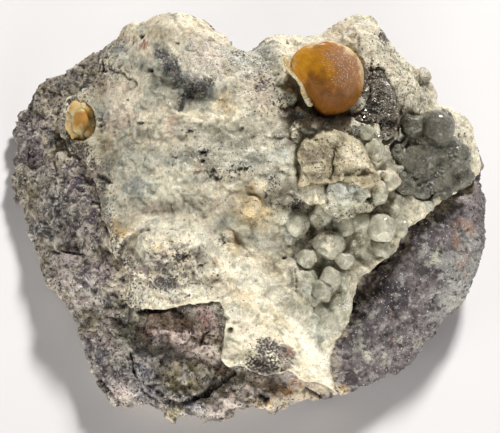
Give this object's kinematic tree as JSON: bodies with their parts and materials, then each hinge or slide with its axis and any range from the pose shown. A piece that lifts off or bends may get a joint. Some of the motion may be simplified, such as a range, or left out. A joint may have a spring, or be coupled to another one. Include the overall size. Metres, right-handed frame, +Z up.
{
  "type": "ferrierite mineral specimen",
  "caption": "Amber ferrierite ball on a pale chalcedony crust over purplish volcanic rock, with glassy botryoids, a calcite block and a small honey ball.",
  "frame": {"origin": "middle of the specimen's box, on the flat foot that it rests on", "axes": "+Z up; +X right and -Y towards the viewer of the display face, which leans back"},
  "size_m": [0.0712, 0.0612, 0.0353],
  "materials": {
    "volcanic_matrix": "rough broken rock with fine light and dark specks",
    "chalcedony_crust": "drusy, cream to grey, half translucent",
    "glassy_chalcedony": "glassy grey-green botryoids",
    "ferrierite_amber": "amber, half translucent, frosted in places",
    "ferrierite_honey": "honey yellow, waxy",
    "calcite_tan": "tan, dull to waxy",
    "dark_druse": "dark glittering points"
  },
  "bodies": {
    "root": {"volcanic_matrix": "volcanic_matrix", "chalcedony_crust": "chalcedony_crust", "glassy_botryoids": "glassy_chalcedony", "ferrierite_ball": "ferrierite_amber", "small_ferrierite_ball": "ferrierite_honey", "calcite_block": "calcite_tan", "cavity_druse": "dark_druse"}
  },
  "joints": []
}
